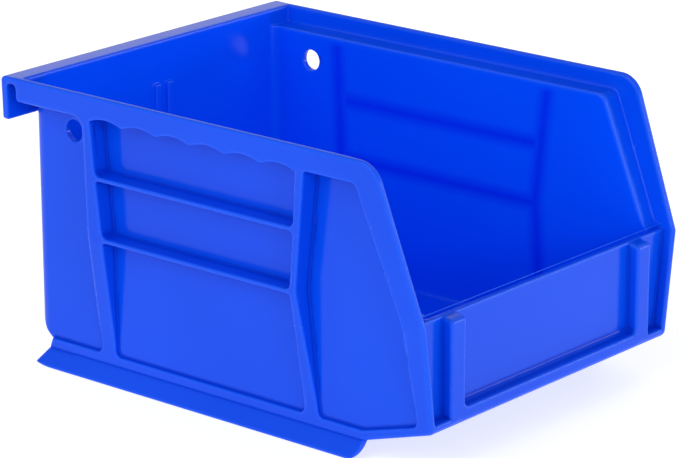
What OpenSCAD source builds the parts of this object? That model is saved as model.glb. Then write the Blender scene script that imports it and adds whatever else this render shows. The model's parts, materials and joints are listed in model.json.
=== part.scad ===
// Stackable storage bin with a hopper front, a hanging lip and stacking ledges.
// The front faces -Y, the hanging lip is at +Y, and Z = 0 is the plane of the stacking skirts' tips.
// The bin is one moulding. Each node below is one wall, rib, flange or rail of it, and they meet face to face.

/* [Overall] */
// Length from the label rails to the back of the hanging lip
bin_length = 136.5; // [130:0.5:150]
// Width over the rim lips
bin_width = 104.8; // [100:0.2:115]
// Height from the skirt tips to the rim
bin_height = 76.2; // [74:0.2:85]

/* [Walls] */
// Thickness of the floor and walls
wall = 1.8; // [1.4:0.1:2.2]
// Depth of the side panels behind the rim lip, at the rim
panel_depth = 5.9; // [5.2:0.1:6.5]
// Width over the ribs at the base strips
base_width = 94.2; // [94:0.1:95]
// Width over the flanges at the shoulder, where the sloped edge meets the front
shoulder_width = 102.2; // [100:0.1:102.6]
// Height of the shoulder
shoulder_z = 38.2; // [36:0.1:42]
// Height of the floor's underside above the skirt tips
floor_z = 4.3; // [3.8:0.1:5]
// Radius of the upright rear corners, outside
corner_r = 4.1; // [3:0.1:8]
// Radius under the rear wall, outside
heel_r = 12; // [9:0.5:14]

/* [Rim] */
// Height of the stacking ledge's top face
ledge_z = 71.6; // [70:0.1:72.5]
// Thickness of the stacking ledge and of the sloped flange
ledge_t = 1.5; // [1.2:0.1:2]
// Thickness of the upright lip
lip_t = 1.7; // [1.3:0.1:2]
// Distance of the sloped edge's top corner behind the front
nose_setback = 13.9; // [12:0.1:16]
// Radius of that corner
nose_r = 7; // [4:0.5:9]
// Number of finger scallops under each lip
scallop_count = 6; // [4:1:8]
// Rise of each scallop
scallop_rise = 1.1; // [0.6:0.1:1.4]

/* [Hanging lip] */
// Thickness of the hanging lip
hook_t = 1.8; // [1.5:0.1:2.2]
// Width of the slot behind the rear wall
hook_slot = 3.05; // [2.5:0.05:4]
// Height of the hanging lip's lower edge
hook_z = 64.6; // [60:0.1:68]

/* [Front] */
// How far the label rails stand out from the front wall
rail_depth = 3.15; // [2.5:0.05:4]
// Height of the front wall
front_top_z = 38.3; // [37:0.1:40]
// Width between the label rails
label_w = 69.2; // [60:0.1:72]
// Width of each rail
rail_w = 5.5; // [4:0.1:6]
// Fall of each rail's top towards the front
rail_top_fall = 0.2; // [0:0.1:3]
// Height of a label's lower edge
label_z = 14.6; // [13.5:0.1:16]
// Height of the rails' tops
rail_top_z = 37.7; // [34:0.1:38]

/* [Ribs] */
// Thickness of the two shelf ribs
shelf_t = 1.2; // [1:0.1:2]
// Top of the upper shelf rib
upper_shelf_z = 55.4; // [50:0.1:60]
// Top of the lower shelf rib
lower_shelf_z = 39.3; // [36:0.1:44]
// Top of the base strips
strip_z = 7; // [6.5:0.1:8]
// Spacing of the two divider ribs on the rear wall
divider_pitch = 4.6; // [3:0.1:10]

/* [Holes] */
// Diameter of the round hole in each side
side_hole_d = 5.6; // [4:0.1:6]

/* [Hidden] */
$fn = 64;

arc_steps = 8;            // straight steps in each drawn arc
reach = 200;              // longer than any cut through the bin
half_w = bin_width / 2;
front_y = -bin_length / 2;
back_y = bin_length / 2 - hook_t - hook_slot;
skin_x = half_w - panel_depth;
cavity_x = skin_x - wall;
cavity_back_y = back_y - wall;
front_wall_y = front_y + rail_depth;
cavity_front_y = front_wall_y + wall;
floor_top_z = floor_z + wall;

// the underside is level as far as toe_y and then rises to the front corner
toe_y = -46.5;
toe_z = 11;
function underside_z(y) = y > toe_y ? floor_z : floor_z + (toe_y - y) * (toe_z - floor_z) / (toe_y - front_y);

// sloped edge of the lip, and the flange line behind it, as [y, z]
nose = [front_y + nose_setback, bin_height];
shoulder = [front_y, shoulder_z];
ledge_nose = [-49.1, ledge_z];
ledge_foot = [cavity_front_y + 0.3, shoulder_z];
flange_run = norm(ledge_nose - ledge_foot);
flange_back = [1, 0] * ledge_t * flange_run / (ledge_nose[1] - ledge_foot[1]);
panel_nose_z = ledge_z - ledge_t;
panel_foot = ledge_foot + flange_back;
panel_nose = panel_foot + (ledge_nose - ledge_foot) * (panel_nose_z - shoulder_z) / (ledge_z - shoulder_z);
panel_toe = [panel_foot[0] - 2.4, 12];
rim_front_y = -46;        // the rim's straight stretch ends here

// rib outlines: [y at the rim, y at the lower shelf, y at the base strip] of each edge
rear_rib_back = [40.4, 40.1, 39.8];
rear_rib_front = [38.1, 35.2, 34.8];
front_rib_back = [-30, -26.9, -28.2];
front_rib_front = [-32.4, -29, -32.7];
rib_bend_z = lower_shelf_z;
scallop_pitch = (rear_rib_front[0] - front_rib_back[0]) / scallop_count;
cusp_flat = 0.8;          // flat left between two scallops
scallop_half = (scallop_pitch - cusp_flat) / 2;
scallop_r = (pow(scallop_half, 2) + pow(scallop_rise, 2)) / (2 * scallop_rise);
cusp_z = 69.5;

corner_y = back_y - corner_r;

skirt_back_y = back_y - 6;
skirt_front_y = -43.5;
skirt_flare = 3;          // how far the skirts flare out below the base strips
skirt_edge = 0.5;         // height of the skirts' upright edge
skirt_slope = skirt_flare / (floor_z - skirt_edge);
strip_rear_lean = 1.1;    // how far the base strips' rear ends lean back
skirt_tip = [skirt_back_y + 3.6, 0.6];  // rearmost point of the skirts, as [y, z]
skirt_end_y = skirt_back_y + 0.1;       // the skirts' tips stop here

sill_step = 1.6;          // step in the sill beside the label

side_hole = [48.4, 64];   // [y, z]
divider_rib = [2.4, 1.2]; // width and depth
divider_top_z = 64.8;
leg_corner_r = 1;         // rounding of the hanging lip's top edge

bin_blue = [0.08, 0.27, 0.9];

// Points of an arc round c, from angle a to angle b
function arc(c, r, a, b) =
    [for (i = [0 : arc_steps]) c + r * [cos(a + (b - a) * i / arc_steps), sin(a + (b - a) * i / arc_steps)]];

// Round corner p between the directions towards a and b
function round_corner(p, a, b, r) =
    let (u = (a - p) / norm(a - p), v = (b - p) / norm(b - p),
         half = acos(u * v) / 2,
         mid = (u + v) / norm(u + v),
         c = p + mid * r / sin(half),
         start = p + u * r / tan(half) - c,
         end = p + v * r / tan(half) - c,
         a0 = atan2(start[1], start[0]),
         sweep = atan2(end[1], end[0]) - a0)
    arc(c, r, a0, a0 + sweep - 360 * round(sweep / 360));

// Draws an outline given in Y and Z, from x0 to x1
module along_x(x0, x1) {
    translate([x0, 0, 0]) rotate([90, 0, 90]) linear_extrude(height = x1 - x0) children();
}

// Draws an outline given in X and Z, from y0 to y1
module along_y(y0, y1) {
    translate([0, y1, 0]) rotate([90, 0, 0]) linear_extrude(height = y1 - y0) children();
}

// Draws an outline given in X and Y, from z0 to z1
module along_z(z0, z1) {
    translate([0, 0, z0]) linear_extrude(height = z1 - z0) children();
}

// The right-hand part as modelled, or mirrored to the left
module on_side(left) {
    color(bin_blue) mirror([left ? 1 : 0, 0, 0]) children();
}

// Room inside the plane of the rib faces, moved inwards by inset
module inside_face(inset = 0) {
    along_y(-reach, reach) polygon([
        [-inset, 0],
        [base_width / 2 - inset, 0],
        [base_width / 2 - inset, floor_z],
        [base_width / 2 + 0.3 - inset, toe_z],
        [shoulder_width / 2 - inset, shoulder_z],
        [half_w - inset, bin_height],
        [-inset, bin_height]
    ]);
}

// A raised shape on the side, from the skin or from x0 out to the rib face
module to_face(x0 = skin_x) {
    intersection() {
        along_x(x0, half_w) children();
        inside_face();
    }
}

// Plan of the tub with its rear corners rounded, pulled in by inset
module tub_plan(inset) {
    x = skin_x - inset;
    y0 = front_wall_y + inset;
    y1 = back_y - inset;
    r = corner_r - inset;
    translate([-x, y0]) square([2 * x, y1 - r - y0]);
    translate([r - x, y0]) square([2 * (x - r), y1 - y0]);
    for (s = [-1, 1])
        translate([s * (x - r), y1 - r]) circle(r);
}

// Side outline of the tub with its heel rounded, pulled in by inset
module tub_profile(inset) {
    heel = [back_y - heel_r, floor_z + heel_r];
    polygon(concat(
        [[front_wall_y + inset, bin_height], [front_wall_y + inset, underside_z(front_wall_y + inset) + inset],
         [toe_y, floor_z + inset]],
        arc(heel, heel_r - inset, -90, 0),
        [[back_y - inset, bin_height]]
    ));
}

module tub_solid(inset) {
    intersection() {
        along_z(0, bin_height) tub_plan(inset);
        along_x(-skin_x, skin_x) tub_profile(inset);
    }
}

module tub_shell() {
    difference() {
        tub_solid(0);
        tub_solid(wall);
        // the cavity is open at the top
        along_z(bin_height - wall, bin_height + wall) tub_plan(wall);
    }
}

module floor_panel() {
    heel_y = back_y - heel_r;
    color(bin_blue) along_x(-cavity_x, cavity_x) polygon([
        [heel_y, floor_z], [toe_y, floor_z], [cavity_front_y, underside_z(cavity_front_y)],
        [cavity_front_y, underside_z(cavity_front_y) + wall], [toe_y, floor_top_z], [heel_y, floor_top_z]
    ]);
}

module back_wall() {
    heel_y = back_y - heel_r;
    color(bin_blue) {
        intersection() {
            tub_shell();
            union() {
                translate([-reach / 2, corner_y, 0]) cube([reach, reach, panel_nose_z]);
                translate([-cavity_x, heel_y, 0]) cube([2 * cavity_x, reach, panel_nose_z]);
            }
        }
        along_z(panel_nose_z, bin_height)
            translate([lip_t - half_w, cavity_back_y]) square([2 * (half_w - lip_t), wall]);
    }
}

module front_wall() {
    color(bin_blue) along_x(-cavity_x, cavity_x) polygon([
        [cavity_front_y, underside_z(cavity_front_y)], [cavity_front_y, front_top_z],
        [front_wall_y, front_top_z], [front_wall_y, underside_z(front_wall_y)]
    ]);
}

module side_wall(left) {
    heel_y = back_y - heel_r;
    web_z = floor_z + 4;      // top of the web that carries the skirt past the heel
    on_side(left) difference() {
        along_x(cavity_x, skin_x) intersection() {
            union() {
                tub_profile(0);
                polygon([[heel_y, floor_z], [skirt_back_y + strip_rear_lean, floor_z],
                         [skirt_back_y, strip_z], [skirt_back_y - 1, web_z], [heel_y, web_z]]);
            }
            polygon([
                [corner_y, 0], [corner_y, panel_nose_z], panel_nose, panel_foot,
                [panel_foot[0], front_top_z], [front_wall_y, front_top_z], [front_wall_y, 0]
            ]);
        }
        translate([cavity_x - 1, side_hole[0], side_hole[1]])
            rotate([0, 90, 0]) cylinder(d = side_hole_d, h = wall + 2);
    }
}

module stacking_ledge(left) {
    on_side(left) along_z(panel_nose_z, ledge_z) difference() {
        translate([cavity_x - corner_r, rim_front_y])
            square([half_w - lip_t - cavity_x + corner_r, cavity_back_y - rim_front_y]);
        tub_plan(wall);
    }
}

module rim_lip(left) {
    grip = [front_rib_back[0], rear_rib_front[0]];
    on_side(left) intersection() {
        along_x(half_w - lip_t, half_w) difference() {
            union() {
                translate([rim_front_y, panel_nose_z]) square([back_y - rim_front_y, bin_height - panel_nose_z]);
                translate([grip[0], cusp_z]) square([grip[1] - grip[0], panel_nose_z - cusp_z]);
            }
            for (i = [0 : scallop_count - 1])
                translate([grip[0] + scallop_pitch * (i + 0.5), cusp_z + scallop_rise - scallop_r])
                    circle(scallop_r);
        }
        inside_face();
    }
}

// Outline of the front flange, with its rear edge along the panel
module flange_outline() {
    polygon(concat(
        [[rim_front_y, bin_height]],
        round_corner(nose, [rim_front_y, bin_height], shoulder, nose_r),
        [shoulder, [front_y, underside_z(front_y)], [panel_toe[0], underside_z(panel_toe[0])],
         panel_toe, panel_foot, panel_nose, [rim_front_y, panel_nose_z]]
    ));
}

// The part of the flange in front of the ledge line, where only the lip stands
module ahead_of_ledge() {
    polygon(concat(
        [[rim_front_y, ledge_z]],
        round_corner(ledge_nose, [rim_front_y, ledge_z], ledge_foot, ledge_t),
        [ledge_foot, [front_wall_y, shoulder_z], [front_wall_y, 0],
         [front_y - 1, 0], [front_y - 1, bin_height + 1], [rim_front_y, bin_height + 1]]
    ));
}

module front_flange(left) {
    on_side(left) {
        // ledge plate and the band behind it
        to_face(skin_x) difference() {
            flange_outline();
            ahead_of_ledge();
        }
        // ledge plate over the edge of the skin
        along_x(cavity_x, skin_x) difference() {
            intersection() {
                flange_outline();
                translate([-reach, front_top_z]) square([2 * reach, reach]);
            }
            ahead_of_ledge();
        }
        // upright lip
        difference() {
            to_face(cavity_x - lip_t) intersection() {
                flange_outline();
                ahead_of_ledge();
            }
            inside_face(lip_t);
        }
    }
}

// Flat rim behind the back wall, the roof of the hanging slot
module rear_flange() {
    color(bin_blue) along_z(bin_height - hook_t, bin_height)
        translate([-half_w, back_y]) square([bin_width, hook_slot]);
}

// The leg that hangs behind a louvre or rail, with a rounded top edge
module hanging_lip() {
    leg_front_y = back_y + hook_slot;
    color(bin_blue) along_x(-half_w, half_w) polygon(concat(
        [[leg_front_y, hook_z], [leg_front_y, bin_height]],
        round_corner([bin_length / 2, bin_height], [leg_front_y, bin_height],
                     [bin_length / 2, hook_z], leg_corner_r),
        [[bin_length / 2, hook_z]]
    ));
}

// Upright rib between two edges, each given at the rim, the bend and the base strip
module rib_outline(back, front) {
    polygon([
        [back[0], panel_nose_z], [back[1], rib_bend_z], [back[2], strip_z],
        [front[2], strip_z], [front[1], rib_bend_z], [front[0], panel_nose_z]
    ]);
}

module rear_rib(left) {
    on_side(left) to_face() rib_outline(rear_rib_back, rear_rib_front);
}

module front_rib(left) {
    on_side(left) to_face() rib_outline(front_rib_back, front_rib_front);
}

// Level rib between the two upright ribs
module shelf_rib(left, top_z) {
    on_side(left) to_face() intersection() {
        translate([-reach, top_z - shelf_t]) square([2 * reach, shelf_t]);
        rib_outline(rear_rib_front, front_rib_back);
    }
}

module base_strip(left) {
    on_side(left) to_face() polygon([
        [skirt_back_y, strip_z], [skirt_back_y + strip_rear_lean, floor_z], [toe_y, floor_z],
        [panel_toe[0], underside_z(panel_toe[0])], panel_toe, [toe_y, strip_z]
    ]);
}

// A sloped plate under the base strip, cut off at an angle behind and rounded in front
module stacking_skirt(left) {
    root_x = base_width / 2;
    on_side(left) intersection() {
        along_y(skirt_front_y - 8, skirt_tip[0]) polygon([
            [root_x - wall, floor_z], [root_x, floor_z], [root_x + skirt_flare, skirt_edge],
            [root_x + skirt_flare, 0], [root_x - wall + floor_z * skirt_slope, 0]
        ]);
        along_x(0, half_w) polygon(concat(
            [[skirt_back_y + strip_rear_lean, floor_z], skirt_tip, [skirt_end_y, 0]],
            arc([skirt_front_y, 3.5], 3.5, 270, 180),
            [[skirt_front_y - 3.5, floor_z]]
        ));
    }
}

module label_rail(left) {
    on_side(left) along_x(label_w / 2, label_w / 2 + rail_w) polygon([
        [front_y, label_z - sill_step], [front_wall_y, label_z - sill_step],
        [front_wall_y, rail_top_z], [front_y, rail_top_z - rail_top_fall]
    ]);
}

// Half of the sill under the label, out to the flange's lip
module half_sill() {
    sill_z = label_z - sill_step;
    intersection() {
        along_x(0, half_w) polygon([
            [front_y, underside_z(front_y)], [front_wall_y, underside_z(front_wall_y)],
            [front_wall_y, sill_z], [front_y, sill_z]
        ]);
        inside_face(lip_t);
    }
}

module label_sill() {
    color(bin_blue) {
        half_sill();
        mirror([1, 0, 0]) half_sill();
        translate([-label_w / 2, front_y, label_z - sill_step]) cube([label_w, rail_depth, sill_step]);
    }
}

module divider_rib(left) {
    on_side(left)
        translate([(divider_pitch - divider_rib[0]) / 2, cavity_back_y - divider_rib[1], floor_z + heel_r])
            cube([divider_rib[0], divider_rib[1], divider_top_z - floor_z - heel_r]);
}

floor_panel();
back_wall();
front_wall();
side_wall(true);  // left_side_wall
side_wall(false);  // right_side_wall
stacking_ledge(true);  // left_stacking_ledge
stacking_ledge(false);  // right_stacking_ledge
rim_lip(true);  // left_rim_lip
rim_lip(false);  // right_rim_lip
front_flange(true);  // left_front_flange
front_flange(false);  // right_front_flange
rear_flange();
hanging_lip();
rear_rib(true);  // left_rear_rib
rear_rib(false);  // right_rear_rib
front_rib(true);  // left_front_rib
front_rib(false);  // right_front_rib
shelf_rib(true, upper_shelf_z);  // left_upper_shelf
shelf_rib(false, upper_shelf_z);  // right_upper_shelf
shelf_rib(true, lower_shelf_z);  // left_lower_shelf
shelf_rib(false, lower_shelf_z);  // right_lower_shelf
base_strip(true);  // left_base_strip
base_strip(false);  // right_base_strip
stacking_skirt(true);  // left_stacking_skirt
stacking_skirt(false);  // right_stacking_skirt
label_rail(true);  // left_label_rail
label_rail(false);  // right_label_rail
label_sill();
divider_rib(true);  // left_divider_rib
divider_rib(false);  // right_divider_rib
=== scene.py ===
import json
import math

import bmesh
import bpy
import numpy as np
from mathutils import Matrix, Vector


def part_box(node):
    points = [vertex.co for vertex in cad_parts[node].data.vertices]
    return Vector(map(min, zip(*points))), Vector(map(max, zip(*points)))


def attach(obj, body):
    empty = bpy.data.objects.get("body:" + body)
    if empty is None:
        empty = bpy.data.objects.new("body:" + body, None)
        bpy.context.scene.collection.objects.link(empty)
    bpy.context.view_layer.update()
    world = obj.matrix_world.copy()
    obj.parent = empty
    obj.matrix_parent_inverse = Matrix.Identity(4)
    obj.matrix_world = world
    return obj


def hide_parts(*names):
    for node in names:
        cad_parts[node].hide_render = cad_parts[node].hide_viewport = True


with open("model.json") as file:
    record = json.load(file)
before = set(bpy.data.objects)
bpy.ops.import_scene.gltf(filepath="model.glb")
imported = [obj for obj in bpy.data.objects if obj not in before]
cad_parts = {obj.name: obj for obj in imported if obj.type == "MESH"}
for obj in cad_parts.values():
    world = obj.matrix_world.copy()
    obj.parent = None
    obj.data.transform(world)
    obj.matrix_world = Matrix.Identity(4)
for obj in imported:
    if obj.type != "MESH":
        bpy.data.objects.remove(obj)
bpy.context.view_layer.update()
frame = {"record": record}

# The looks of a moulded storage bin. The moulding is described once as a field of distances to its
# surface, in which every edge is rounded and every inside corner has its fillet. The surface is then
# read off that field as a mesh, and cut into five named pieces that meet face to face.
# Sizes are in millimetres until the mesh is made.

import openvdb
from mathutils import Vector

MM = 0.001
STEP = 0.3   # spacing of the field's grid
MARGIN = 1.2                         # grid left round the bin
MESH_ADAPT = 0.02                    # how much coarser the mesh gets where it is flat
ARC_STEPS_PER_RADIAN = 10            # lines in the rounded corner of an outline
MIN_ARC_STEPS = 4


def lo(node):
    """Lowest corner of a CAD node."""
    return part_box(node)[0] / MM


def hi(node):
    """Highest corner of a CAD node."""
    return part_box(node)[1] / MM


# Dimensions read from the CAD frame
half_w = hi("hanging_lip").x
rim_z = hi("hanging_lip").z
leg_back_y = hi("hanging_lip").y
leg_front_y = lo("hanging_lip").y
leg_z = lo("hanging_lip").z
back_y = lo("rear_flange").y
slot_roof_z = lo("rear_flange").z
skin_x = hi("right_side_wall").x
cavity_x = lo("right_side_wall").x
wall = skin_x - cavity_x
cavity_back_y = back_y - wall
ledge_z = hi("right_stacking_ledge").z
ledge_under_z = lo("right_stacking_ledge").z
ledge_t = ledge_z - ledge_under_z
lip_t = half_w - hi("right_stacking_ledge").x
lip_in_x = half_w - lip_t
floor_z = lo("floor_panel").z
front_y = lo("right_label_rail").y
front_wall_y = hi("right_label_rail").y
cavity_front_y = hi("front_wall").y
front_top_z = hi("front_wall").z
rail_in_x = lo("right_label_rail").x
rail_out_x = hi("right_label_rail").x
rail_z = lo("right_label_rail").z
rail_top_z = hi("right_label_rail").z
label_z = hi("label_sill").z
shelf_bands = [(lo("right_upper_shelf").z, hi("right_upper_shelf").z),
               (lo("right_lower_shelf").z, hi("right_lower_shelf").z)]
bend_z = hi("right_lower_shelf").z
skirt_x = hi("right_stacking_skirt").x
skirt_front_y = lo("right_stacking_skirt").y
skirt_back_y = hi("right_stacking_skirt").y

# Dimensions the CAD has too, but no box of a node gives
toe_z = 11.0                         # underside at the front
toe_y = -46.5                        # where the underside starts to rise
toe_r = 3.0                          # rounding there
shoulder_z = 38.2                    # where the sloped front edge starts
nose_back = 13.9                     # how far back it ends, at the rim
heel_r = 12.0                        # rounding of the lower rear edge
corner_r = 4.1                       # rounding of the upright rear corners
strip_z = 7.0                        # top of the base strips
strip_back_y = 57.4                  # rear end of the base strips
strip_lean = 1.1                     # how far that end leans back
web_z = 8.3                          # top of the web that carries a skirt past the heel
skirt_edge_z = 0.5                   # height of a skirt's outer edge
panel_toe_z = 12.0                   # lowest front corner of the front panel

nose = (front_y + nose_back, rim_z, 7.0)
shoulder = (front_y, shoulder_z, 1.2)
ledge_nose = (-49.1, ledge_z)
ledge_foot = (cavity_front_y + 0.3, shoulder_z)

# half width of the rib faces at each height
FACE_LINE = [(47.1, floor_z), (47.4, toe_z), (51.1, shoulder_z), (half_w, rim_z)]

# ribs: y at the rim, at the bend and at the base strip
REAR_RIB_BACK = (40.4, 40.1, 39.8)
REAR_RIB_FRONT = (38.1, 35.2, 34.8)
FRONT_RIB_BACK = (-30.0, -26.9, -28.2)
FRONT_RIB_FRONT = (-32.4, -29.0, -32.7)

SCALLOPS = 6
CUSP_Z = 69.5                        # height of the points between scallops
CUSP_FLAT = 0.8                      # width of those points
SCALLOP_RISE = 1.1                   # depth of a scallop
SCALLOP_POINTS = 17

EDGE = 0.45                          # radius of an outside edge
FILLET = 0.3                         # radius of an inside corner
LIP_EDGE = 0.7                       # radius along the outer top edge of the rim
REAR_LIP_EDGE = 0.25                 # how much smaller it is behind the back wall
SLOT_R = 1.3                         # radius in the hanging slot and round its band
LEG_CORNER = 1.0                     # radius of the hanging lip's lower corners
INNER_LIP_EDGE = 0.6                 # radius along the inner top edge of the rim
FRONT_LIP_EDGE = 0.35                # how much larger it is along the sloped front edge
BRIM = 0.6                           # how much larger the cavity's edge is there
SLOPE_Y = -46.0                      # both begin ahead of this
SLOPE_Z = 30.0                       # and the first of them above this
SOFT = 0.3                           # radius of the small edges
PANEL_FOOT = 1.6                     # radius in the lower corners of the panels
PANEL_TOP = 0.9                      # radius in their upper corners
BEND = 12.0                          # radius where a rib bends
RAIL_EDGE = 0.8                      # radius along a label rail
SILL_EDGE = 0.6                      # radius along the label sill
SILL_FILLET = 1.6                    # radius between the label recess and the sill
RIB_EDGE = 0.4                       # radius along a divider rib
HOLE_EDGE = 0.25                     # radius round a side hole
SINK = 0.1                           # depth of the sink marks inside, behind the ribs
SINK_REACH = 1.3                     # how far from a rib's middle line they spread
DRAFT = 0.4                          # how much the skin leans in towards the base
FLOOR_EDGE = 1.2                     # radius between the floor and the sides, inside
BACK_LEAN = 0.8                      # how much the inner back wall leans in towards the floor
HOLLOW_INSET = 0.45                  # how far down the ledges the inside, painted lighter, starts
CUT_INSET = 2.5                      # how far inside the walls the pieces are cut apart
OVERLAP = 1.0                        # how far a feature runs into the wall that carries it
FAR = 200.0                          # well outside the bin
ALMOST_NONE = 0.001                  # the share of a radius left where it has faded away
SNAP = 1e-5                          # points this close to a cut lie on it


# ---------------------------------------------------------------- distances


def grid_axis(low, high):
    """First index and the places of the grid's points along an axis."""
    first = math.floor((low - MARGIN) / STEP)
    last = math.ceil((high + MARGIN) / STEP)
    return first, np.arange(first, last + 1, dtype=np.float32) * np.float32(STEP)


FIRST_Y, y_values = grid_axis(front_y, leg_back_y)
FIRST_Z, z_values = grid_axis(0.0, rim_z)
x_values = grid_axis(0.0, half_w)[1]
x_values = x_values[x_values > -0.5 * STEP]
FIRST_X = 1 - len(x_values)          # the field is worked out for x >= 0 and mirrored
X = x_values[:, None, None]
Y = y_values[None, :, None]
Z = z_values[None, None, :]


def inside_all(a, b, r=0.0):
    """Distance to what is inside both, with the edge between them rounded."""
    if np.isscalar(r) and r == 0:
        return np.maximum(a, b)
    outside = np.sqrt(np.maximum(a + r, 0) ** 2 + np.maximum(b + r, 0) ** 2)
    return np.minimum(np.maximum(a, b), -r) + outside


def inside_any(a, b, r=0.0):
    """Distance to what is inside either, with the corner between them filled."""
    return -inside_all(-a, -b, r)


def cut(a, b, r=0.0):
    """Distance to a with b cut away."""
    return inside_all(a, -b, r)


def between(values, low, high):
    """Distance to the slab from low to high."""
    return np.maximum(low - values, values - high)


def fade_in(values, length, least=0.0):
    """Rises from least, where a value is 0, to 1 where it reaches length."""
    return np.clip(values / length, least, 1)


def block(x, y, z, r):
    """A box with rounded edges, from three (low, high) ranges."""
    upright = inside_all(between(X, *x), between(Y, *y), r)
    return inside_all(upright, between(Z, *z), r)


def round_corners(corners):
    """Points of an outline whose corners are (u, v) or (u, v, radius)."""
    points = []
    for i, corner in enumerate(corners):
        at = np.array(corner[:2], float)
        radius = corner[2] if len(corner) > 2 else 0.0
        if radius == 0:
            points.append(at)
            continue
        u = np.array(corners[i - 1][:2], float) - at
        v = np.array(corners[(i + 1) % len(corners)][:2], float) - at
        u /= np.linalg.norm(u)
        v /= np.linalg.norm(v)
        half = math.acos(np.clip(u @ v, -1, 1)) / 2
        centre = at + (u + v) / np.linalg.norm(u + v) * radius / math.sin(half)
        start = at + u * radius / math.tan(half) - centre
        end = at + v * radius / math.tan(half) - centre
        turn = math.atan2(start[0] * end[1] - start[1] * end[0], start @ end)
        steps = max(MIN_ARC_STEPS, int(abs(turn) * ARC_STEPS_PER_RADIAN))
        for k in range(steps + 1):
            c, s = math.cos(turn * k / steps), math.sin(turn * k / steps)
            points.append(centre + [c * start[0] - s * start[1], s * start[0] + c * start[1]])
    return points


def outline(u, v, corners):
    """Signed distance to an outline in the plane of the grids u and v."""
    points = round_corners(corners)
    squared = np.full(np.broadcast(u, v).shape, np.inf, np.float32)
    odd = np.zeros(squared.shape, bool)
    for (u0, v0), (u1, v1) in zip(points, points[1:] + points[:1]):
        du, dv = u1 - u0, v1 - v0
        length = du * du + dv * dv
        if length < 1e-12:           # the same point twice
            continue
        t = np.clip(((u - u0) * du + (v - v0) * dv) / length, 0, 1)
        squared = np.minimum(squared, (u - u0 - t * du) ** 2 + (v - v0 - t * dv) ** 2)
        if v0 != v1:
            crosses = (v0 <= v) != (v1 <= v)
            odd ^= crosses & (u < u0 + (v - v0) * du / dv)
    return np.where(odd, -1, 1).astype(np.float32) * np.sqrt(squared)


def path_distance(u, v, points):
    """Distance to an open path in the plane of the grids u and v."""
    squared = np.full(np.broadcast(u, v).shape, np.inf, np.float32)
    for (u0, v0), (u1, v1) in zip(points, points[1:]):
        du, dv = u1 - u0, v1 - v0
        t = np.clip(((u - u0) * du + (v - v0) * dv) / (du * du + dv * dv), 0, 1)
        squared = np.minimum(squared, (u - u0 - t * du) ** 2 + (v - v0 - t * dv) ** 2)
    return np.sqrt(squared)


def skin(z):
    """Where the outer skin of a side is at height z."""
    return skin_x - DRAFT * np.clip((ledge_under_z - z) / (ledge_under_z - strip_z), 0, 1)


def rib_y(line, z):
    """Where a rib's edge is at height z."""
    return float(np.interp(z, [strip_z, bend_z, ledge_under_z], line[::-1]))


def face(inset=0.0):
    """Distance to the plane of the rib faces, moved inwards by inset."""
    line = [(x - inset, z) for x, z in FACE_LINE]
    return outline(X, Z, [(-FAR, -FAR), (line[0][0], -FAR), *line, (line[-1][0], FAR), (-FAR, FAR)])


# ---------------------------------------------------------------- the moulding


def outer_block():
    """The whole bin's outline from the side, between the planes of the rib faces."""
    side = outline(Y, Z, [
        (leg_back_y, rim_z, SLOT_R), (leg_back_y, leg_z, 0.8), (leg_front_y, leg_z, 0.6),
        (leg_front_y, slot_roof_z, SLOT_R), (back_y, slot_roof_z, SLOT_R), (back_y, floor_z, heel_r),
        (toe_y, floor_z, toe_r), (front_y, toe_z, 1.8), shoulder, nose,
    ])
    flank = face()
    body = inside_all(side, flank, LIP_EDGE - REAR_LIP_EDGE * fade_in(Y - back_y, 2))
    leg_corner = inside_all(leg_z - Z, flank, LEG_CORNER)
    return np.maximum(body, np.where(Y > leg_front_y - 1, leg_corner, -FAR))


def recess():
    """Everything above the ledges and ahead of the front wall, between the lips."""
    below = outline(Y, Z, [
        (FAR, -FAR), (FAR, FAR), (cavity_back_y, FAR), (cavity_back_y, ledge_z, 0.6),
        (*ledge_nose, ledge_t + 1), (*ledge_foot, 1.5), (ledge_foot[0] - 0.1, front_top_z),
        (front_wall_y, front_top_z, 0.5), (front_wall_y, rail_z, 0.5), (-FAR, rail_z), (-FAR, -FAR),
    ])
    return inside_all(-below, face(lip_t), FILLET)


def sink_marks():
    """Shallow hollows that the ribs' thickness leaves on the inside."""
    heights = (ledge_under_z, bend_z, strip_z)
    lines = [
        [((a + b) / 2, z) for a, b, z in zip(REAR_RIB_BACK, REAR_RIB_FRONT, heights)],
        [((a + b) / 2, z) for a, b, z in zip(FRONT_RIB_BACK, FRONT_RIB_FRONT, heights)],
    ]
    for low, high in shelf_bands:
        z = (low + high) / 2
        lines.append([(rib_y(FRONT_RIB_BACK, z), z), (rib_y(REAR_RIB_FRONT, z), z)])
    nearest = np.minimum.reduce([path_distance(Y, Z, line) for line in lines])
    return SINK * np.exp(-((nearest / SINK_REACH) ** 2))


def cavity():
    """The room inside the bin, with its back wall leaning out a little towards the rim."""
    foot_y = cavity_back_y - BACK_LEAN
    side = outline(Y, Z, [
        (cavity_front_y, FAR), (cavity_front_y, floor_z + wall + 5.2, 1.5),
        (toe_y, floor_z + wall, toe_r), (foot_y, floor_z + wall, heel_r - wall),
        (cavity_back_y, ledge_z), (cavity_back_y, FAR),
    ])
    rise = np.clip((Z - floor_z - wall) / (ledge_z - floor_z - wall), 0, 1)
    back = foot_y + (cavity_back_y - foot_y) * rise
    plan = inside_all(X - cavity_x, Y - back, corner_r - wall)
    edge = FLOOR_EDGE * fade_in(back - Y, 4, ALMOST_NONE)
    on_side = np.clip((X - cavity_x) / 4 + 1, 0, 1)
    return inside_all(side, plan, edge) - sink_marks() * on_side


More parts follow.
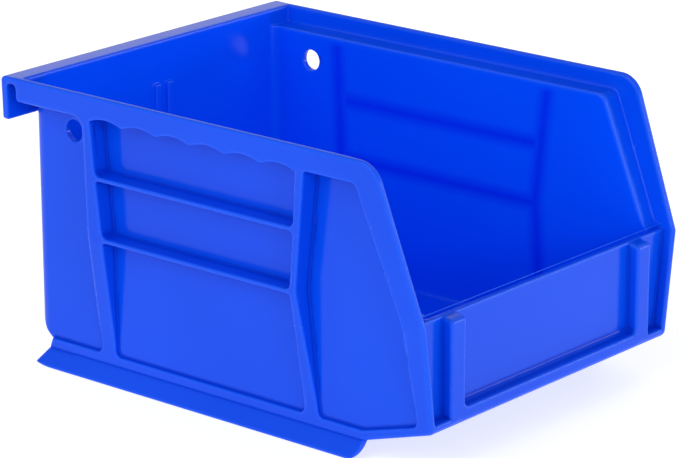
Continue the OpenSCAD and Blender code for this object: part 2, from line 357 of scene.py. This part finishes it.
def panel(z0, z1):
    """Outline of a sunken panel between the two ribs, from z0 to z1."""
    start, end = FRONT_RIB_BACK, REAR_RIB_FRONT
    corners = [(rib_y(start, z0), z0, PANEL_FOOT), (rib_y(start, z1), z1, PANEL_TOP),
               (rib_y(end, z1), z1, PANEL_TOP), (rib_y(end, z0), z0, PANEL_FOOT)]
    if z0 < bend_z < z1:
        corners.insert(1, (rib_y(start, bend_z), bend_z, BEND))
        corners.insert(4, (rib_y(end, bend_z), bend_z, BEND))
    return outline(Y, Z, corners)


def front_panel():
    """The sunken panel between the front rib and the flange along the sloped edge."""
    run = math.dist(ledge_nose, ledge_foot)
    back = ledge_t * run / (ledge_nose[1] - ledge_foot[1])
    foot = (ledge_foot[0] + back, ledge_foot[1])
    slope = (ledge_nose[0] - ledge_foot[0]) / (ledge_nose[1] - ledge_foot[1])
    return outline(Y, Z, [
        (FRONT_RIB_FRONT[0], ledge_under_z, PANEL_TOP), (FRONT_RIB_FRONT[1], bend_z, BEND),
        (FRONT_RIB_FRONT[2], strip_z, PANEL_FOOT), (toe_y, strip_z, toe_r),
        (foot[0] - 2.4, panel_toe_z, 2.2), (*foot, 8.0),
        (foot[0] + slope * (ledge_under_z - foot[1]), ledge_under_z, PANEL_FOOT),
    ])


def rear_panel():
    """The sunken panel behind the rear rib, open to the back."""
    strip_foot_y, past_back_y = strip_back_y + strip_lean, back_y + 1.6
    return outline(Y, Z, [
        (REAR_RIB_BACK[0], ledge_under_z, 3.0), (REAR_RIB_BACK[1], bend_z, 30.0),
        (REAR_RIB_BACK[2], strip_z, PANEL_FOOT), (strip_back_y, strip_z, 0.6),
        (strip_foot_y, floor_z), (strip_foot_y, -FAR),
        (past_back_y, -FAR), (past_back_y, ledge_under_z),
    ])


def band_corner():
    """What rounds off the lower rear corner of the rim's band, beside the slot."""
    r = SLOT_R
    from_centre = np.sqrt((Y - back_y + r) ** 2 + (Z - ledge_under_z - r) ** 2)
    y_range = (back_y - r, back_y + 0.5)
    z_range = (ledge_under_z - 0.5, ledge_under_z + r)
    return np.maximum(r - from_centre, block((skin_x, FAR), y_range, z_range, 0))


def scalloped_panel(z0):
    """The top panel's outline in the lip, with finger scallops along its upper edge."""
    start, end = FRONT_RIB_BACK[0], REAR_RIB_FRONT[0]
    pitch = (end - start) / SCALLOPS
    across = np.linspace(0, 1, SCALLOP_POINTS)
    top = []
    for i in range(SCALLOPS):
        y = start + pitch * i + CUSP_FLAT / 2 + across * (pitch - CUSP_FLAT)
        z = CUSP_Z + SCALLOP_RISE * (1 - (2 * across - 1) ** 2)
        top += list(zip(y, z))
    return outline(Y, Z, [(rib_y(FRONT_RIB_BACK, z0), z0, PANEL_FOOT), *top,
                          (rib_y(REAR_RIB_FRONT, z0), z0, PANEL_FOOT)])


def panels():
    """All that is cut into the sides, down to the skin and round the rear corners."""
    upper, lower = shelf_bands
    outlines = np.minimum.reduce([
        panel(strip_z, lower[0]), panel(lower[1], upper[0]), front_panel(), rear_panel(),
    ])
    under_ledge = X < lip_in_x - 0.3
    top = np.where(under_ledge, panel(upper[1], ledge_under_z), scalloped_panel(upper[1]))
    return inside_all(np.minimum(outlines, top), skin(Z) - X, FILLET)


def rear_corner():
    """What is outside the rounded upright corner at the rear, under the rim."""
    plan = inside_all(X - skin(Z), Y - back_y, corner_r)
    height = np.maximum(Z - ledge_under_z, between(Y, strip_back_y, back_y + 1.5))
    return np.maximum(-plan, height)


def skirt():
    """The sloped skirt under each side, which drops over the ledge of a bin below."""
    root_x = FACE_LINE[0][0]
    slope = (skirt_x - root_x) / (floor_z - skirt_edge_z)
    inner_x = root_x - wall + floor_z * slope
    section = outline(X, Z, [
        (root_x - 0.4, floor_z + 1.5), (root_x - 0.4, floor_z + 0.2), (root_x, floor_z),
        (skirt_x, skirt_edge_z), (skirt_x, 0.0), (inner_x, 0.0),
        (root_x - wall, floor_z), (root_x - wall, floor_z + 1.5),
    ])
    length = outline(Y, Z, [
        (strip_back_y + 0.4, floor_z + 1.0), (skirt_back_y, 0.6, 0.3), (strip_back_y - 1.6, -SOFT),
        (skirt_front_y, -SOFT, 3.7), (skirt_front_y, floor_z + 1.0),
    ])
    return inside_all(section, length, SOFT)


def base_ends():
    """The strip and the web that run on past the heel, to the skirt's rear end."""
    start_y = back_y - heel_r - 2
    side = outline(Y, Z, [(start_y, floor_z), (strip_back_y + strip_lean, floor_z, SOFT),
                          (strip_back_y, strip_z, SOFT), (start_y, strip_z)])
    strip = inside_all(inside_all(side, cavity_x - X, SOFT), face(), SOFT)
    web = block((cavity_x, skin_x - DRAFT), (start_y, strip_back_y), (floor_z, web_z), SOFT)
    return np.minimum(strip, web)


def label_rail():
    """One of the two rails that hold a label, with its top sloping down to the front."""
    foot_z, root_y = rail_z - OVERLAP, front_wall_y + OVERLAP
    side = outline(Y, Z, [
        (front_y, foot_z), (root_y, foot_z), (root_y, rail_top_z + 0.5),
        (front_y, rail_top_z - 0.2, 1.2),
    ])
    return inside_all(side, between(X, rail_in_x, rail_out_x), RAIL_EDGE)


def raised_sill():
    """The step under a label, between the rails."""
    y_range = (front_y, front_wall_y + OVERLAP)
    return block((-FAR, rail_in_x + OVERLAP), y_range, (rail_z - 1.5, label_z), SILL_EDGE)


def divider_ribs():
    """The small upright ribs on the inner back wall, run into that wall and its foot."""
    low, high = lo("right_divider_rib"), hi("right_divider_rib")
    return block((low.x, high.x), (low.y, high.y + 0.6), (low.z - OVERLAP, high.z), RIB_EDGE)


def side_hole():
    """The round hole through a side, from the record's mounts."""
    mounts = {m["name"]: m for m in frame["record"]["mounts"]}
    mount = mounts["right_side_hole"]
    place = Vector(mount["pos_m"]) / MM
    return np.sqrt((Y - place.y) ** 2 + (Z - place.z) ** 2) - mount["dims"]["r_mm"]


def moulding_field():
    """Distances to the moulding's surface and to its hollow, from its left side to its right."""
    on_slope = fade_in(SLOPE_Y - Y, 3)
    lip_edge = INNER_LIP_EDGE + FRONT_LIP_EDGE * on_slope * fade_in(Z - SLOPE_Z, 4)
    cavity_edge = EDGE * fade_in(cavity_back_y - 0.2 - Y, 2, ALMOST_NONE)
    cavity_edge = cavity_edge + BRIM * on_slope * fade_in(Z - front_top_z, 4)
    sill_fillet = FILLET + (SILL_FILLET - FILLET) * fade_in(Z - label_z + 1, 1)
    above, below = recess(), cavity()
    body = cut(outer_block(), above, lip_edge)
    body = cut(body, panels(), EDGE)
    body = cut(cut(body, rear_corner()), band_corner())
    body = np.minimum(body, base_ends())
    body = cut(body, below, cavity_edge)
    body = np.minimum(body, skirt())
    body = inside_any(body, label_rail(), FILLET)
    body = inside_any(body, raised_sill(), sill_fillet)
    body = inside_all(body, front_y - Y)
    body = inside_any(body, divider_ribs(), FILLET)
    body = cut(body, side_hole(), HOLE_EDGE)
    behind_front = np.where(Z < front_top_z, cavity_front_y - 0.3 - Y, -FAR)
    hollow = np.maximum(np.minimum(above + HOLLOW_INSET, below), behind_front)
    return [np.concatenate([half[:0:-1], half]) for half in (body, hollow)]


# ---------------------------------------------------------------- the mesh


def sample(field, points):
    """The field's value at points in millimetres."""
    place = points / STEP - np.array([FIRST_X, FIRST_Y, FIRST_Z])
    low = np.clip(np.floor(place).astype(int), 0, np.array(field.shape) - 2)
    part = place - low
    value = np.zeros(len(points))
    for corner in np.ndindex(2, 2, 2):
        i, j, k = (low + corner).T
        weight = np.prod(np.where(corner, part, 1 - part), axis=1)
        value += weight * field[i, j, k]
    return value


def gradient(field, points, reach):
    """Which way is out, at points, as unit vectors."""
    slopes = []
    for axis in np.eye(3) * reach:
        slopes.append(sample(field, points + axis) - sample(field, points - axis))
    out = np.array(slopes).T
    return out / np.maximum(np.linalg.norm(out, axis=1, keepdims=True), 1e-9)


def read_surface(field):
    """Points in millimetres and faces of the moulding's surface, finer where it curves."""
    band = 4 * STEP
    grid = openvdb.FloatGrid(background=band)
    near = np.clip(field, -band, band).astype(np.float32)
    grid.copyFromArray(near, ijk=(FIRST_X, FIRST_Y, FIRST_Z))
    grid.transform = openvdb.createLinearTransform(voxelSize=STEP)
    points, triangles, quads = grid.convertToPolygons(isovalue=0.0, adaptivity=MESH_ADAPT)
    points = points.astype(float)
    for _ in range(2):               # moves each point onto the surface
        points -= gradient(field, points, 0.5 * STEP) * sample(field, points)[:, None]
    return points, triangles, quads


def whole_mesh(field):
    """The moulding's surface as one mesh, in millimetres."""
    points, triangles, quads = read_surface(field)
    mesh = bpy.data.meshes.new("moulding")
    mesh.from_pydata(points.tolist(), [], triangles.tolist() + quads.tolist())
    return mesh


def cut_piece(source, name, planes):
    """The part of the moulding behind every (point, normal) plane, closed along the cuts."""
    work = bmesh.new()
    work.from_mesh(source)
    for face_ in work.faces:
        face_.smooth = True
    for point, normal in planes:
        everything = work.verts[:] + work.edges[:] + work.faces[:]
        made = bmesh.ops.bisect_plane(work, geom=everything, dist=SNAP, plane_co=point,
                                      plane_no=normal, clear_outer=True)
        rim = [e for e in made["geom_cut"] if isinstance(e, bmesh.types.BMEdge)]
        caps = bmesh.ops.holes_fill(work, edges=rim, sides=0)["faces"]
        for cap in caps:
            cap.smooth = False
        bmesh.ops.triangulate(work, faces=caps)
    mesh = bpy.data.meshes.new(name)
    work.to_mesh(mesh)
    work.free()
    return mesh


def bend_at(field, points, normals, reach=0.6):
    """How sharply the surface bends at points: above 0 on edges, below 0 in corners."""
    along = sample(field, points + normals * reach) + sample(field, points - normals * reach)
    around = np.zeros(len(points))
    for axis in np.eye(3) * reach:
        around += sample(field, points + axis) + sample(field, points - axis)
    return (around - along) / reach


def mark(mesh, name, values):
    """Gives each point of a mesh a value that the material reads."""
    layer = mesh.attributes.new(name, "FLOAT", "POINT")
    layer.data.foreach_set("value", values.astype(np.float32))


def finish_mesh(mesh, field, hollow):
    """Gives a mesh the field's own normals, its mark of how the surface bends and its mark of the
    inside that the material paints lighter, and makes it metres.
    """
    points = np.empty(len(mesh.vertices) * 3)
    mesh.vertices.foreach_get("co", points)
    points = points.reshape(-1, 3)
    normals = gradient(field, points, 0.5 * STEP)
    # how the surface bends: lighter on edges from wear and painted highlight, painted shade in corners
    mark(mesh, "curvature", np.clip(bend_at(field, points, normals), -1, 1))
    # the inside, which the material paints lighter as painted light
    mark(mesh, "painted_inside_light", np.clip(1.5 - sample(hollow, points) / 0.4, 0, 1))
    mesh.vertices.foreach_set("co", (points * MM).ravel())
    mesh.update()
    set_normals(mesh, normals)


def set_normals(mesh, normals):
    """Shades the moulded surface by the field's normals, and the cuts flat."""
    corner_verts = np.empty(len(mesh.loops), int)
    mesh.loops.foreach_get("vertex_index", corner_verts)
    corner_normals = normals[corner_verts]
    for polygon in mesh.polygons:
        if not polygon.use_smooth:
            start = polygon.loop_start
            corner_normals[start:start + polygon.loop_total] = polygon.normal
    mesh.normals_split_custom_set(corner_normals)


def both(name):
    """A node's name on the left and on the right."""
    return ["left_" + name, "right_" + name]


def cutting_plan():
    """For each piece, the (point, normal) planes that cut it free and the nodes it replaces."""
    to_right, to_front, to_back = Vector((1, 0, 0)), Vector((0, -1, 0)), Vector((0, 1, 0))
    right_cut = Vector((cavity_x - CUT_INSET, 0, 0))
    front_cut = Vector((0, cavity_front_y + CUT_INSET, 0))
    rear_cut = Vector((0, back_y - heel_r - 1, 0))
    middle = [(right_cut, to_right), (-right_cut, -to_right)]
    side_nodes = ["side_wall", "stacking_ledge", "rim_lip", "front_flange", "rear_rib", "front_rib",
                  "upper_shelf", "lower_shelf", "base_strip", "stacking_skirt"]
    return {
        "bin_left_side": ([(-right_cut, to_right)], ["left_" + n for n in side_nodes]),
        "bin_right_side": ([(right_cut, -to_right)], ["right_" + n for n in side_nodes]),
        "bin_front": (middle + [(front_cut, to_back)],
                      ["front_wall", "label_sill", *both("label_rail")]),
        "bin_back": (middle + [(rear_cut, to_front)],
                     ["back_wall", "rear_flange", "hanging_lip", *both("divider_rib")]),
        "bin_floor": (middle + [(front_cut, to_front), (rear_cut, to_back)], ["floor_panel"]),
    }


def make_pieces(material):
    """Cuts the moulding into its five pieces, which ride on the part's one body."""
    field, hollow = moulding_field()
    source = whole_mesh(field)
    for name, (planes, nodes) in cutting_plan().items():
        mesh = cut_piece(source, name, planes)
        finish_mesh(mesh, field, hollow)
        mesh.materials.append(material)
        piece = bpy.data.objects.new(name, mesh)
        bpy.context.scene.collection.objects.link(piece)
        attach(piece, "root")
        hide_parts(*nodes)
    bpy.data.meshes.remove(source)


# ---------------------------------------------------------------- materials

# The plastic's colours; the pairs are the two ends of its slow change of tone
OUTSIDE_BLUES = ((0.0004, 0.064, 0.72, 1), (0.0010, 0.070, 0.76, 1))
# the inside pair is the outside blue painted lighter: painted light for what comes through the walls
INSIDE_PAINTED_LIGHT_BLUES = ((0.0002, 0.078, 0.93, 1), (0.0005, 0.084, 0.96, 1))
# painted shadow of the ribs behind the inner wall
RIB_SHADOW_BLUE = (0.0002, 0.032, 0.85, 1)
# lighter edges: partly wear, partly painted highlight
WORN_AND_HIGHLIGHT_BLUE = (0.01, 0.11, 0.88, 1)
# painted shade in the outside corners
CORNER_SHADE_BLUE = (0.0, 0.028, 0.55, 1)
FLOOR_GREYS = ((0.60, 0.60, 0.61, 1), (0.63, 0.63, 0.63, 1))
WHITE = (1, 1, 1, 1)


class Nodes:
    """Short calls for building a material's node tree."""

    def __init__(self, name):
        self.material = bpy.data.materials.new(name)
        self.material.use_nodes = True
        self.tree = self.material.node_tree
        self.shader = self.tree.nodes["Principled BSDF"]

    def new(self, kind, links=None, **values):
        node = self.tree.nodes.new("ShaderNode" + kind)
        for name, value in values.items():
            setattr(node, name, value)
        for socket, value in (links or {}).items():
            self.put(value, node.inputs[socket])
        return node

    def put(self, value, socket):
        if isinstance(value, bpy.types.NodeSocket):
            self.tree.links.new(value, socket)
        else:
            socket.default_value = value

    def noise(self, place, scale, detail=2.0):
        return self.new("TexNoise", {"Vector": place, "Scale": scale, "Detail": detail}).outputs["Fac"]

    def spread(self, value, low, high, to_low, to_high):
        """value between low and high, mapped to to_low and to_high and held there."""
        return self.new("MapRange", {"Value": value, "From Min": low, "From Max": high,
                                     "To Min": to_low, "To Max": to_high}).outputs["Result"]

    def mix(self, share, a, b):
        node = self.new("Mix", data_type="RGBA")
        self.put(share, node.inputs["Factor"])
        self.put(a, node.inputs["A"])
        self.put(b, node.inputs["B"])
        return node.outputs["Result"]

    def math(self, kind, a, b=0.0):
        return self.new("Math", {0: a, 1: b}, operation=kind).outputs["Value"]

    def times(self, a, b):
        return self.math("MULTIPLY", a, b)

    def gap(self, a, b=0.0):
        """How far a is from b, either way."""
        return self.math("ABSOLUTE", self.math("SUBTRACT", a, b))


def painted_rib_shadow(m, place):
    """How much of the wall at a place has a rib behind it, so that less light comes through: there the
    inside colour gets painted shadow.
    """
    split = m.new("SeparateXYZ", {"Vector": place})
    x, y, z = (m.times(split.outputs[axis], 1 / MM) for axis in "XYZ")
    shades = []
    for back, front in ((REAR_RIB_BACK, REAR_RIB_FRONT), (FRONT_RIB_BACK, FRONT_RIB_FRONT)):
        top, bend, foot = ((a + b) / 2 for a, b in zip(back, front))
        line = m.math("ADD", m.spread(z, strip_z, bend_z, foot, bend),
                      m.spread(z, bend_z, ledge_under_z, 0.0, top - bend))
        shades.append(m.spread(m.gap(y, line), 0.2, 3.4, 1.0, 0.0))
    shelf_mid_y, shelf_half = 4.2, 31.5
    span = m.spread(m.gap(y, shelf_mid_y), shelf_half, shelf_half + 2, 1.0, 0.0)
    for low, high in shelf_bands:
        shades.append(m.times(m.spread(m.gap(z, (low + high) / 2), 0.2, 3.2, 1.0, 0.0), span))
    darkest = shades[0]
    for shade in shades[1:]:
        darkest = m.math("MAXIMUM", darkest, shade)
    on_side = m.spread(m.gap(x), cavity_x - 0.6, cavity_x - 0.2, 0.0, 1.0)
    under_rim = m.spread(z, ledge_under_z - 1, ledge_under_z + 0.5, 1.0, 0.0)
    return m.times(m.times(darkest, on_side), under_rim)


def plastic_colour(m, place, tone, worn_and_highlight, painted_inside_light, corner_shade):
    """Deep blue outside, painted lighter inside for the light that comes through the walls, with
    painted rib shadows there, edges lighter from wear and painted highlight, and painted shade in the
    outside corners.
    """
    outside = m.mix(tone, *OUTSIDE_BLUES)
    # inside: painted light from the walls, and painted shadow where a rib stands behind
    inside = m.mix(painted_rib_shadow(m, place), m.mix(tone, *INSIDE_PAINTED_LIGHT_BLUES), RIB_SHADOW_BLUE)
    colour = m.mix(painted_inside_light, outside, inside)
    # edges: lighter from wear and painted highlight
    colour = m.mix(m.times(worn_and_highlight, 0.35), colour, WORN_AND_HIGHLIGHT_BLUE)
    # corners: painted shade
    return m.mix(m.times(corner_shade, 0.7), colour, CORNER_SHADE_BLUE)


def plastic_roughness(m, place, slow, worn_and_highlight):
    """Almost even gloss, with long faint scuffs and duller edges."""
    stretched = m.new("Mapping", {"Vector": place, "Scale": (1.0, 0.15, 3.0)}).outputs[0]
    scuffs = m.noise(stretched, 260.0, 4.0)
    rough = m.spread(slow, 0.3, 0.7, 0.13, 0.17)
    rough = m.math("ADD", rough, m.spread(scuffs, 0.62, 0.8, 0.0, 0.10))
    return m.math("ADD", rough, m.times(worn_and_highlight, 0.12))


def plastic_bump(m, place):
    """The ripple and fine grain that the mould leaves."""
    fine = m.noise(place, 1500.0, 1.0)
    ripple = m.noise(place, 60.0)
    height = m.math("ADD", m.times(fine, 0.04), ripple)
    return m.new("Bump", {"Height": height, "Distance": 0.00004, "Strength": 0.5}).outputs["Normal"]


def blue_plastic():
    """Glossy moulded polypropylene, a little worn and with painted highlight on its edges, painted
    shade in its outside corners and painted light inside.
    """
    m = Nodes("blue_plastic")
    place = m.new("TexCoord").outputs["Object"]
    curvature = m.new("Attribute", attribute_name="curvature").outputs["Fac"]
    painted_inside_light = m.new("Attribute", attribute_name="painted_inside_light").outputs["Fac"]
    slow = m.noise(place, 18.0)
    tone = m.spread(slow, 0.35, 0.65, 0.0, 1.0)
    # the convex edges, lightened partly as wear and partly as painted highlight
    worn_and_highlight = m.spread(curvature, 0.05, 0.5, 0.0, 1.0)
    in_open = m.spread(painted_inside_light, 0.05, 0.3, 1.0, 0.0)
    # painted shade in the concave corners outside the hollow
    corner_shade = m.times(m.spread(curvature, -0.04, -0.4, 0.0, 1.0), in_open)
    shader = m.shader.inputs
    m.put(plastic_colour(m, place, tone, worn_and_highlight, painted_inside_light, corner_shade), shader["Base Color"])
    # less reflection where the corners get painted shade
    m.put(m.spread(corner_shade, 0.0, 1.0, 0.5, 0.12), shader["Specular IOR Level"])
    m.put(plastic_roughness(m, place, slow, worn_and_highlight), shader["Roughness"])
    m.put(plastic_bump(m, place), shader["Normal"])
    shader["IOR"].default_value = 1.27
    return m.material


def pale_floor():
    """A matt pale floor with a faint glow, so that it stays as white as the room."""
    m = Nodes("pale_floor")
    place = m.new("TexCoord").outputs["Object"]
    tone = m.spread(m.noise(place, 3.0), 0.3, 0.7, 0.0, 1.0)
    m.put(m.mix(tone, *FLOOR_GREYS), m.shader.inputs["Base Color"])
    m.shader.inputs["Roughness"].default_value = 0.7
    m.shader.inputs["Emission Color"].default_value = WHITE
    m.shader.inputs["Emission Strength"].default_value = 0.66
    return m.material


# ---------------------------------------------------------------- stage and camera

FLOOR_SIZE = 4.0                     # half its width, in metres
FLOOR_GAP = 0.0001                   # how far under the bin it lies

# The sky's strength is SKY_LOW below the first elevation and SKY_HIGH above the second
SKY_FADE = (25, 48)
SKY_LOW, SKY_HIGH = 0.72, 0.40

# name, azimuth, elevation, distance, (width, height), power
SOFTBOXES = [
    ("key_softbox", -95, 40, 1.2, (0.9, 0.9), 5.0),
    ("front_softbox", -22, 16, 1.3, (0.32, 0.22), 3.3),
    ("edge_softbox", 47, 9, 1.3, (0.34, 0.2), 2.4),
    ("back_softbox", 128, 22, 1.6, (1.6, 0.6), 1.0),
]
LIT_POINT = Vector((0, 0, 0.04))

CAMERA_TARGET = Vector((-0.474, 0.018, 36.891)) * MM
CAMERA_ANGLES = (-49.749, 17.495)    # azimuth and elevation
CAMERA_DISTANCE = 0.8944
LENS = 186.25
SENSOR_WIDTH = 36.0


def make_floor():
    mesh = bpy.data.meshes.new("floor")
    size = FLOOR_SIZE
    mesh.from_pydata([(-size, -size, 0), (size, -size, 0), (size, size, 0), (-size, size, 0)], [],
                     [(0, 1, 2, 3)])
    mesh.materials.append(pale_floor())
    floor = bpy.data.objects.new("studio_floor", mesh)
    floor.location.z = -FLOOR_GAP
    bpy.context.scene.collection.objects.link(floor)


def direction(azimuth, elevation):
    """Unit vector from the bin towards an azimuth and elevation, in degrees."""
    a, e = math.radians(azimuth), math.radians(elevation)
    return Vector((math.sin(a) * math.cos(e), -math.cos(a) * math.cos(e), math.sin(e)))


def aim(thing, place, target):
    """Puts a lamp or camera at a place, facing the target, into the scene."""
    thing.location = place
    thing.rotation_mode = "QUATERNION"
    thing.rotation_quaternion = (target - place).to_track_quat("-Z", "Y")
    bpy.context.scene.collection.objects.link(thing)


def softbox(name, azimuth, elevation, distance, size, power):
    lamp = bpy.data.lights.new(name, "AREA")
    lamp.shape = "RECTANGLE"
    lamp.size, lamp.size_y = size
    lamp.energy = power
    place = LIT_POINT + direction(azimuth, elevation) * distance
    aim(bpy.data.objects.new(name, lamp), place, LIT_POINT)


def make_world():
    """An even white studio that darkens overhead."""
    world = bpy.data.worlds.new("studio")
    world.use_nodes = True
    nodes, links = world.node_tree.nodes, world.node_tree.links
    place = nodes.new("ShaderNodeTexCoord")
    split = nodes.new("ShaderNodeSeparateXYZ")
    fade = nodes.new("ShaderNodeMapRange")
    links.new(place.outputs["Generated"], split.inputs["Vector"])
    links.new(split.outputs["Z"], fade.inputs["Value"])
    fade.inputs["From Min"].default_value = math.sin(math.radians(SKY_FADE[0]))
    fade.inputs["From Max"].default_value = math.sin(math.radians(SKY_FADE[1]))
    fade.inputs["To Min"].default_value = SKY_LOW
    fade.inputs["To Max"].default_value = SKY_HIGH
    links.new(fade.outputs["Result"], nodes["Background"].inputs["Strength"])
    nodes["Background"].inputs["Color"].default_value = WHITE
    bpy.context.scene.world = world


def make_camera():
    lens = bpy.data.cameras.new("camera")
    lens.lens = LENS
    lens.sensor_width = SENSOR_WIDTH
    lens.clip_start, lens.clip_end = 0.01, 20.0
    camera = bpy.data.objects.new("camera", lens)
    aim(camera, CAMERA_TARGET + direction(*CAMERA_ANGLES) * CAMERA_DISTANCE, CAMERA_TARGET)
    bpy.context.scene.camera = camera


bpy.context.scene.view_settings.view_transform = "Standard"
make_pieces(blue_plastic())
make_floor()
make_world()
for box in SOFTBOXES:
    softbox(*box)
make_camera()
